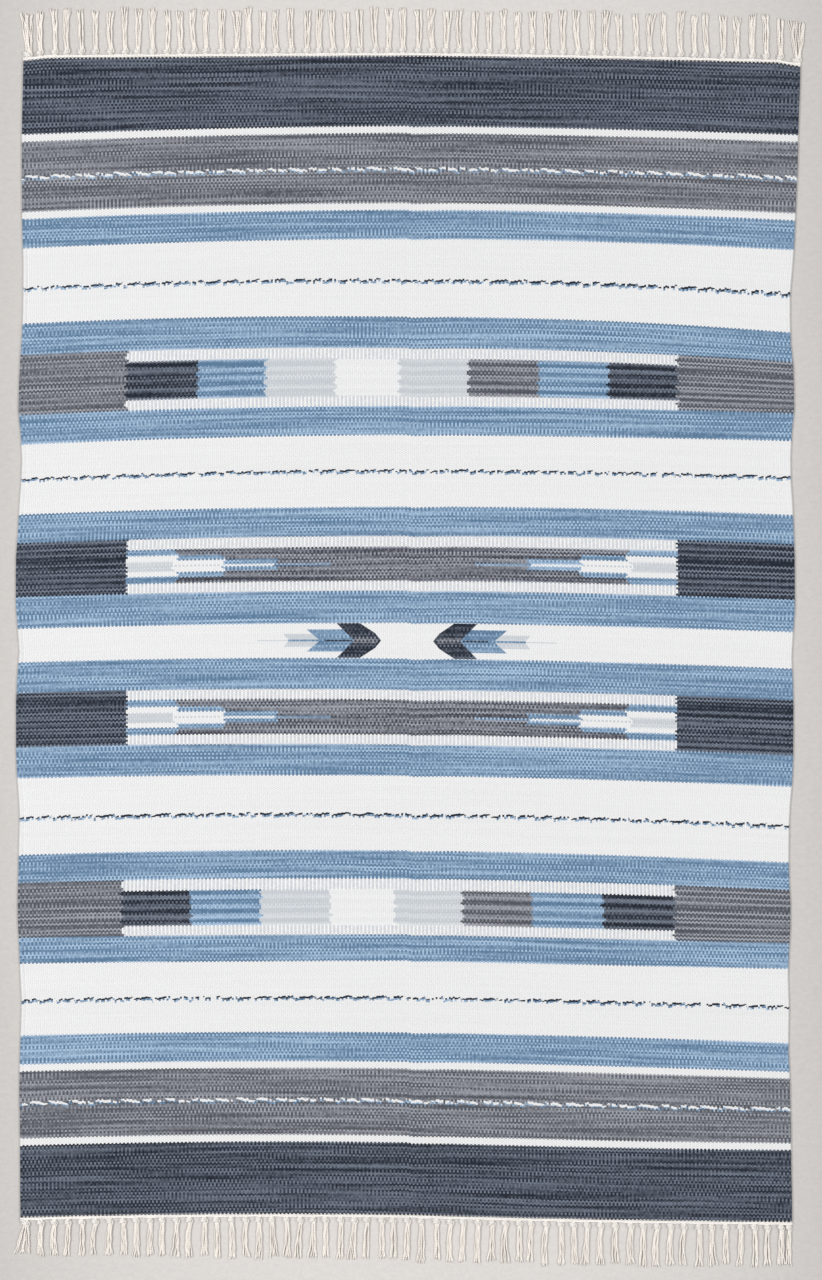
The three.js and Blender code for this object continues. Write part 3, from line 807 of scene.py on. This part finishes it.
def make_field_material():
    net = Net("woven_field")
    u, v = net.map_pair("cloth")
    rib = rib_number(net, u)
    odd = net.math("FLOORED_MODULO", rib, 2.0)
    climb = net.muladd(v, 1 / STITCH_LENGTH, net.mul(odd, 0.5))
    stitch = net.floor(climb)
    within_stitch = net.sub(climb, stitch)
    within_rib = net.fraction(net.mul(u, 1 / WARP_PITCH))
    stitch_u = net.mul(net.add(rib, 0.5), WARP_PITCH)
    stitch_v = net.mul(net.sub(net.add(stitch, 0.5), net.mul(odd, 0.5)), STITCH_LENGTH)
    pick = net.sub(net.mul(stitch, 2.0), odd)

    found = climb_codes(net, stitch_v, [(band["until"], band["cloth"]) for band in reversed(BANDS)])
    found, stripes, lined, inlaid = add_blocks(net, found, stitch_u, stitch_v)
    found, lined, inlaid = add_spears(net, found, lined, inlaid, stitch_u, stitch_v)
    found, arrow = add_arrows(net, found, u, v)
    found, twined = add_twining(net, found, u, v)

    even = clamped(net, net.add(net.add(arrow, inlaid), net.mul(lined, 0.8)))
    tone = strand_tone(net, pick, stitch_u, stitch_v, lined, even)
    tone = net.muladd(stripes, 0.5, tone)
    line_share = net.muladd(u, LINES_CLEARER_TO_RIGHT, patch(net, "lines", u, v))
    line_share = net.add(line_share, 0.15)
    tone = net.muladd(net.mul(fine_lines(net, pick), lined), line_share, tone)
    deeper = net.muladd(twined, 0.55, net.mul(arrow, 0.20))
    tone = net.sub(tone, net.mul(deeper, is_cloth(net, found, "navy")))
    upper_right = net.mul(net.more(v, ARROW_AXIS), net.more(u, ARROW_MIDDLE))
    upper_blue = net.mul(net.mul(arrow, upper_right), is_cloth(net, found, "blue"))
    tone = net.muladd(upper_blue, -0.35, tone)
    ribbing = net.muladd(net.scatter(stitch_u, pick), 0.30, net.mul(odd, 0.70))
    tone = net.choose(is_cloth(net, found, "ribbed"), ribbing, tone)
    tone = clamped(net, tone)
    light_stops = [(i / CODE_COUNT, linear(row["light"])) for i, row in enumerate(YARNS)]
    dark_stops = [(i / CODE_COUNT, linear(row["dark"])) for i, row in enumerate(YARNS)]
    colour = net.blend(tone, net.steps(found, dark_stops), net.steps(found, light_stops))

    # Each stitch is a small pillow, with painted shade where it dives under its neighbours
    swell_v = net.sine(net.mul(within_stitch, math.pi))
    swell_u = net.sine(net.mul(within_rib, math.pi))
    swell = net.math("POWER", net.mul(swell_v, swell_u), 0.5)
    # Painted shade: the colour darkens towards the edges of each stitch
    colour = net.shade(colour, swell, 0.22, 0.85)
    fibre = net.noise(u, v, (1.2, 6.0), 5.0, detail=2.0)
    colour = net.shade(colour, fibre, 0.12, 0.94)
    height = net.muladd(fibre, 0.15, swell)
    roughness = net.muladd(fibre, 0.12, 0.84)
    return net.finish(colour, roughness, height, 0.0006, 0.55, 0.12)


# The woven field


def field_columns():
    """Three columns to a rib: one in the valley and two on the crown."""
    ribs = round(FIELD_WIDTH / WARP_PITCH)
    columns = np.arange(3 * ribs + 1) * WARP_PITCH / 3 - HALF_WIDTH
    crown = np.where(np.arange(3 * ribs + 1) % 3 == 0, 0.0, 1.0)
    return columns, crown


def field_rows():
    """Rows from the near end to the far end, with extra ones at each twined line."""
    half = HALF_LENGTH - EDGE_ROUNDING
    rows = np.linspace(-half, half, round(2 * half / ROW_PITCH) + 1)
    for line in TWINED_LINES:
        rows = rows[np.abs(rows - line["away"]) > ROW_PITCH * 0.3]
    extra = [line["away"] + step * TWINING_HALF_WIDTH for line in TWINED_LINES for step in (-1, 0, 1)]
    return np.sort(np.concatenate([rows, extra]))


def cloth_height(side, away):
    """Height of the upper face, without its ribs."""
    from_middle = np.abs(side) * HALF_WIDTH
    from_edge = HALF_WIDTH - from_middle
    ripple_turn = TURN * away / RIPPLE_LENGTH + side * RIPPLE_SKEW
    cross_turn = TURN * RIPPLES_ACROSS * side + RIPPLE_OFFSET
    height = CLOTH_THICKNESS + CLOTH_RIPPLE * np.sin(ripple_turn) * np.sin(cross_turn)
    height = height - FOLD_DEPTH * np.clip(1 - from_middle / FOLD_HALF_WIDTH, 0, 1)
    for line in TWINED_LINES:
        height = height + TWINING_RISE * np.clip(1 - np.abs(away - line["away"]) / TWINING_HALF_WIDTH, 0, 1)
    groove = (from_edge >= SELVEDGE_WIDTH) & (from_edge < SELVEDGE_WIDTH + GROOVE_WIDTH)
    height = np.where(groove, height - GROOVE_DEPTH, height)
    return np.where(from_edge < SELVEDGE_WIDTH, SELVEDGE_THICKNESS, height)


def make_field(material):
    columns, crown = field_columns()
    rows = field_rows()
    last_row, last_column = len(rows) - 1, len(columns) - 1
    side = columns / HALF_WIDTH * (1 - EDGE_ROUNDING / HALF_WIDTH)
    grid_side, grid_away = np.meshgrid(side, rows)
    x, y = cloth_place(grid_side, grid_away)
    z = cloth_height(grid_side, grid_away) - RIB_RELIEF * (1 - crown)[None, :]
    number = np.arange(x.size).reshape(x.shape)
    quads = together(number[:-1, :-1], number[:-1, 1:], number[1:, 1:], number[1:, :-1])
    faces = quads.reshape(-1, 4).tolist()
    points = [together(x, y, z).reshape(-1, 3)]
    pairs = [together(columns[None, :], rows[:, None]).reshape(-1, 2)]

    # The rim in order round the cloth, seen from above and against the clock
    rim = [(0, column, 0, -1) for column in range(last_column)]
    rim += [(row, last_column, 1, 0) for row in range(last_row)]
    rim += [(last_row, column, 0, 1) for column in range(last_column, 0, -1)]
    rim += [(row, 0, -1, 0) for row in range(last_row, 0, -1)]
    row_at, column_at, out_x, out_y = (np.array(part) for part in zip(*rim))
    corner = ((row_at == 0) | (row_at == last_row)) & ((column_at == 0) | (column_at == last_column))
    out_x = np.where(corner, np.sign(columns[column_at]) * math.sqrt(0.5), out_x)
    out_y = np.where(corner, np.sign(rows[row_at]) * math.sqrt(0.5), out_y)
    first = x.size
    top = number[row_at, column_at]
    rim_x, rim_y = x[row_at, column_at], y[row_at, column_at]
    rim_pairs = together(columns[column_at], rows[row_at])
    rings = [top]
    for level, share in ((0.8, 0.75), (0.45, 1.0), (0.0, SOLE_TUCK)):
        rings.append(first + np.arange(len(rim)))
        first += len(rim)
        spread = EDGE_ROUNDING * share
        points.append(together(rim_x + out_x * spread, rim_y + out_y * spread, CLOTH_THICKNESS * level))
        pairs.append(rim_pairs)
    for upper, lower in zip(rings, rings[1:]):
        faces += together(lower, np.roll(lower, -1), np.roll(upper, -1), upper).tolist()

    # The underside: wide faces from side to side, and a fan at each end
    sole = {(r, c): n for r, c, n in zip(row_at.tolist(), column_at.tolist(), rings[-1].tolist())}
    for row in range(1, last_row - 1):
        faces.append([sole[row, 0], sole[row + 1, 0], sole[row + 1, last_column], sole[row, last_column]])
    middle = last_column // 2
    for edge, inner, flip in ((0, 1, False), (last_row, last_row - 1, True)):
        fan = []
        for column in range(last_column):
            hub = sole[inner, 0] if column < middle else sole[inner, last_column]
            fan.append([hub, sole[edge, column + 1], sole[edge, column]])
        fan.append([sole[inner, 0], sole[inner, last_column], sole[edge, middle]])
        faces += [face[::-1] if flip else face for face in fan]

    uvs = {"cloth": np.concatenate(pairs)}
    piece = link_mesh("woven_field", np.concatenate(points), faces, material, uvs)
    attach(piece, "root")
    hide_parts("field")
    return piece


# Headers and tassels


def header_line(end, offset, side):
    """A line along the header, offset from its inner edge."""
    start = np.full_like(side, end["facing"] * (HALF_LENGTH + PIECE_GAP))
    x, y = cloth_place(side, start)
    return x, y + end["facing"] * offset


def make_header(end, material):
    """Two rows of twining laid over the warps, on a thin bed of warp yarn, and the tassels' knots."""
    side = np.linspace(-1, 1, HEADER_STATIONS)
    parts = []
    for number, row in enumerate(HEADER_ROWS):
        x, y = header_line(end, row["offset"], side)
        wander = 0.2 * np.sin(x / 17.0 + number * 2.1) + 0.4 * number * np.sin(x / 5.6)
        path = together(x, y + wander, row["height"])[None]
        hand = 1 if number % 2 == 0 else -1
        twist = (hand * x * TURN / HEADER_TWIST_LENGTH + number)[None]
        parts.append(sweep(path, row["radius"], (0, 0, 1), HEADER_SIDES, lobe=HEADER_LOBE, twist=twist))
    x, y = header_line(end, BED_OFFSET, side[::BED_EVERY])
    bed = together(x, y, BED_HEIGHT)[None]
    bed_points, bed_faces, bed_pairs = sweep(bed, BED_RADIUS, (0, 0, 1), HEADER_SIDES)
    bed_points[:, 2] = BED_HEIGHT + (bed_points[:, 2] - BED_HEIGHT) * BED_FLATNESS
    parts.append((bed_points, bed_faces, bed_pairs))
    knots = each_tassel(end, knot_rings)
    parts.append(sweep(knots, KNOT_YARN_RADIUS, (0, 1, 0), HEADER_SIDES, closed=True))
    points, faces, pairs = join_parts(parts)
    piece = link_mesh(f"header_{end['name']}", points, faces, material, {"yarn": pairs})
    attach(piece, "root")
    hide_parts(end["node"])
    return piece


def each_tassel(end, make):
    """What make gives for each tassel of an end, one after another."""
    return np.concatenate([make(end, index, tassel_shape(end, index)) for index in range(end["tassels"])])


def corner_of(end, index):
    """The corner tassel that an index stands for, if any."""
    left, right = end["corners"]
    return {0: left, end["tassels"] - 1: right}.get(index)


def calm(end, index):
    """The tassels next to a corner hang straighter."""
    return CALM_SHARE if index < 2 or index > end["tassels"] - 3 else 1.0


def tassel_place(end, index):
    """How far across the rug a tassel leaves the header."""
    corner = corner_of(end, index)
    if corner:
        return corner["root"]
    middle_index = (end["tassels"] - 1) / 2
    share = (index - middle_index) / (middle_index - 1)
    span = end["middle"] - end["first"] if share < 0 else end["last"] - end["middle"]
    unevenness = PLACE_WAVER * calm(end, index) * waver(index + 12 * end["facing"] + 140)
    return end["middle"] + span * share + unevenness


def tassel_root(end, index):
    """Where a tassel leaves the header's outer edge."""
    place = tassel_place(end, index)
    away = end["facing"] * (HALF_LENGTH + PIECE_GAP)
    x, y = cloth_place(place / edge_at(place, away), away)
    return float(x), float(y) + end["facing"] * HEADER_WIDTH


def tassel_shape(end, index):
    """The shape of one tassel: its length, lean, curl, thickness and number of yarns."""
    seed = index + (0 if end["facing"] > 0 else 200)
    corner = corner_of(end, index)
    steady = calm(end, index)
    places, lengths = (values_of(end["lengths"], column) for column in ("place", "length"))
    plain_length = float(np.interp(tassel_place(end, index), places, lengths))
    shape = {
        "length": plain_length + end["length_waver"] * waver(seed),
        "lean": LEAN_WAVER * steady * waver(seed + 31),
        "curl": CURL_WAVER * steady * waver(seed + 67),
        "splay": 0.0,
        "knot_fat": 1.0,
        "tip_fat": 1 + FAT_WAVER * steady * waver(seed + 95),
        "yarns": YARNS_A_TASSEL,
        "stray": stray_hand(end, index),
    }
    if corner:
        shape.update({
            "splay": corner["splay"], "knot_fat": corner["knot_width"] / PLAIN_KNOT_WIDTH,
            "tip_fat": corner["tip_width"] / PLAIN_TIP_WIDTH, "yarns": corner["yarns"],
        })
    return shape


def stray_hand(end, index):
    """Which way a tassel's stray lock falls, towards the wider gap beside it, or 0 if it has none."""
    if calm(end, index) < 1 or waver(index * 3 + 17 * end["facing"] + 300) < STRAY_THRESHOLD:
        return 0
    place = tassel_place(end, index)
    left_gap = place - tassel_place(end, index - 1)
    right_gap = tassel_place(end, index + 1) - place
    return -1 if left_gap > right_gap else 1


def ease(value, low, high):
    share = np.clip((value - low) / (high - low), 0, 1)
    return share * share * (3 - 2 * share)


def yarn_paths(end, index, shape):
    """Centre lines of one tassel's yarns, from under the header to the tip."""
    root_x, root_y = tassel_root(end, index)
    count = shape["yarns"]
    stretch = (shape["length"] - NECK_ALONG) / (PLAIN_LENGTH - NECK_ALONG)
    stations, widths = (values_of(TASSEL_SECTIONS, column) for column in ("along", "width"))
    bunch_shift = 1 if waver(index * 5 + 60 * end["facing"]) > 0 else 0
    looped = 1 if waver(index * 7 + 20 * end["facing"]) > -0.6 else -1
    bunch_pitch = 1.0 if bunch_shift else 0.8
    paths = []
    for yarn in range(count):
        seed = index * 31 + yarn * 7 + 900 * end["facing"]
        lane = 2 * yarn / (count - 1) - 1
        cut = PLAIN_LENGTH + YARN_CUT_WAVER * waver(seed + 5)
        plain = np.concatenate([NEAR_KNOT, np.linspace(10.0, cut, YARN_STATIONS)])
        beyond = np.maximum(plain - NECK_ALONG, 0)
        share = beyond / (PLAIN_LENGTH - NECK_ALONG)
        fat = shape["knot_fat"] + (shape["tip_fat"] - shape["knot_fat"]) * share
        reach = np.interp(plain, stations, widths) * fat / 2 - YARN_RADIUS
        bunch = bunch_pitch * round(lane / bunch_pitch - 0.5 * bunch_shift)
        bunch = bunch + 0.5 * bunch_shift * bunch_pitch
        gathered = lane + (0.45 + 0.3 * waver(index + 41)) * (bunch - lane) * ease(plain, 6, 16)
        bend = np.sin(math.pi * np.clip(share, 0, 1))
        strayed = 0.3 * waver(seed + 11) * share + 0.4 * waver(seed + 17) * bend
        offset = np.clip(1.05 * gathered + strayed, -1.1, 1.1) * reach
        if lane * looped == 1:
            offset = offset + 1.6 * looped * np.sin(math.pi * np.clip((plain - 1.5) / 9.0, 0, 1))
        if shape["stray"] * lane > 0.6:
            leaving = ease(plain, STRAY_START, STRAY_START + 14)
            beside = shape["stray"] * (STRAY_REACH + 1.0 * math.sin(seed)) * share
            beside = beside + 1.1 * (lane - 0.8 * shape["stray"])
            offset = offset * (1 - leaving) + beside * leaving
        drift = shape["lean"] * share + shape["curl"] * np.sin(math.pi * share) + shape["splay"] * share
        drift = drift + 0.9 * ease(plain, 1.5, 6.0) * (1 - ease(plain, 10, 30))
        wobble = 0.6 * np.sin(share * 15 + seed * 1.7) * np.sqrt(share) + 0.9 * lane * ease(plain, 50, 61)
        lift = (1.2 * (yarn % 2) + 0.4 * (1 + waver(seed + 23))) * (1 - 0.5 * share)
        in_knot = ease(plain, 0.0, 2.5) * (1 - ease(plain, 7.0, 13.0))
        height = YARN_RADIUS + lift * ease(plain, 0.0, 3.5) + 0.5 * in_knot * (1 - abs(lane))
        away = root_y + end["facing"] * (np.minimum(plain, NECK_ALONG) + beyond * stretch)
        paths.append(together(root_x + offset + drift + wobble, away, height))
    return np.array(paths)


def knot_rings(end, index, shape):
    """Three slanting turns of yarn round the neck of a tassel."""
    root_x, root_y = tassel_root(end, index)
    angle = np.arange(KNOT_STATIONS) / KNOT_STATIONS * TURN
    wide = PLAIN_KNOT_WIDTH * shape["knot_fat"] / 2 - YARN_RADIUS
    rings = []
    for ring in range(KNOT_TURNS):
        seed = index * 3 + ring + 500 * end["facing"]
        along = KNOT_START + KNOT_PITCH * ring + 0.4 * waver(seed + 3)
        slant = 0.35 * waver(index + 70 * end["facing"]) + 0.3 * waver(seed)
        reach = wide * (0.95 + 0.15 * waver(seed + 9))
        x = root_x - KNOT_ASIDE + KNOT_ASIDE * waver(seed + 13) + reach * np.cos(angle)
        y = root_y + end["facing"] * along + slant * reach * np.cos(angle)
        rings.append(together(x, y, KNOT_HEIGHT + KNOT_RISE * np.sin(angle)))
    return np.array(rings)


def make_tassels(end, material):
    """The yarns of all the tassels at one end."""
    yarns = each_tassel(end, yarn_paths)
    taper = np.interp(np.linspace(0, 1, yarns.shape[1]), [0, 0.9, 1], [1.0, 0.92, 1.1])
    points, faces, pairs = sweep(yarns, YARN_RADIUS * taper, (0, 0, 1), YARN_SIDES)
    piece = link_mesh(f"tassels_{end['name']}", points, faces, material, {"yarn": pairs})
    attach(piece, "root")
    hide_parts(end["node"])
    return piece


def make_yarn_material(name, light, dark):
    """Undyed plied cotton: plies wind round the yarn, with painted shade in their soft grooves and on the
    yarn's flanks.
    """
    net = Net(name)
    round_share, along = net.map_pair("yarn")
    ply = net.sine(net.muladd(round_share, 4 * math.pi, net.mul(along, TURN / 4.2)))
    groove = net.muladd(ply, 0.5, 0.5)
    facing = net.sine(net.mul(round_share, TURN))
    flank_shade = clamped(net, net.muladd(facing, 1.3, 0.25))
    fibre = net.noise(round_share, along, (9.0, 1.4), 2.0, detail=3.0)
    cloud = net.noise(round_share, along, (0.7, 1 / 30.0), 8.0, detail=1.0)
    # Painted shade: the dark colour fills the grooves between the plies, mixed with slow patches of yarn tone
    share = net.muladd(groove, 0.5, net.mul(cloud, 0.5))
    colour = net.blend(share, (*linear(dark), 1.0), (*linear(light), 1.0))
    # Painted shade on each yarn's flanks, lightest on its upper side
    colour = net.shade(colour, flank_shade, 0.18, 0.87)
    colour = net.shade(colour, fibre, 0.14, 0.93)
    height = net.muladd(fibre, 0.3, groove)
    return net.finish(colour, net.muladd(fibre, 0.1, 0.85), height, 0.0004, 0.6, 0.15)


# Floor and lights


def make_floor():
    """A plain pale floor, larger than any view needs, with painted light that fades towards its sides."""
    net = Net("floor")
    x, y = net.parted(net.node("ShaderNodeTexCoord").outputs["Object"])
    grain = net.noise(x, y, (260.0, 260.0), 0.0, detail=3.0)
    cloud = net.noise(x, y, (2.4, 2.4), 4.0, detail=1.0)
    smear = net.noise(x, y, (90.0, 140.0), 7.0, detail=2.0)
    colour = net.shade(linear(FLOOR_COLOUR), grain, 0.16, 0.92)
    colour = net.shade(colour, smear, 0.14, 0.93)
    colour = net.shade(colour, cloud, 0.04, 0.98)
    # Painted light: brightest under the middle line, darker towards the sides
    aside = net.mul(x, x)
    painted_falloff = net.muladd(aside, net.muladd(aside, -0.7, -0.2), FLOOR_MIDDLE_LIGHT)
    colour = net.shade(colour, net.most(painted_falloff, FLOOR_LEAST_LIGHT))
    material = net.finish(colour, 0.9, grain, 0.0004, 0.3, 0.0)
    corners = [(a * FLOOR_HALF, b * FLOOR_HALF, -FLOOR_DROP) for a, b in ((-1, -1), (1, -1), (1, 1), (-1, 1))]
    floor = link_mesh("floor", corners, [[0, 1, 2, 3]], material)


def make_lights():
    """Two soft lamps low on the left and right, as over a copying table, and an even sky."""
    for row in LAMPS:
        data = bpy.data.lights.new(row["name"], "AREA")
        data.shape = "RECTANGLE"
        data.size, data.size_y = LAMP_SIZE
        data.energy = row["power"]
        data.color = LAMP_COLOUR
        lamp = new_object(row["name"], data)
        lamp.location = (row["side"] * LAMP_ASIDE, 0.0, LAMP_HEIGHT)
        lamp.rotation_euler = (0, row["side"] * LAMP_TILT, 0)
    world = bpy.data.worlds.new("even_sky")
    world.use_nodes = True
    sky = world.node_tree.nodes["Background"]
    sky.inputs["Color"].default_value = SKY_COLOUR
    sky.inputs["Strength"].default_value = SKY_STRENGTH
    bpy.context.scene.world = world


bpy.context.scene.view_settings.view_transform = "Standard"

yarn_material = make_yarn_material("warp_yarn", (1.000, 0.985, 0.962), (0.945, 0.908, 0.872))
header_material = make_yarn_material("header_yarn", (1.000, 0.995, 0.985), (0.955, 0.930, 0.910))
field = make_field(make_field_material())
for end in ENDS:
    make_header(end, header_material)
    make_tassels(end, yarn_material)
make_floor()
make_lights()
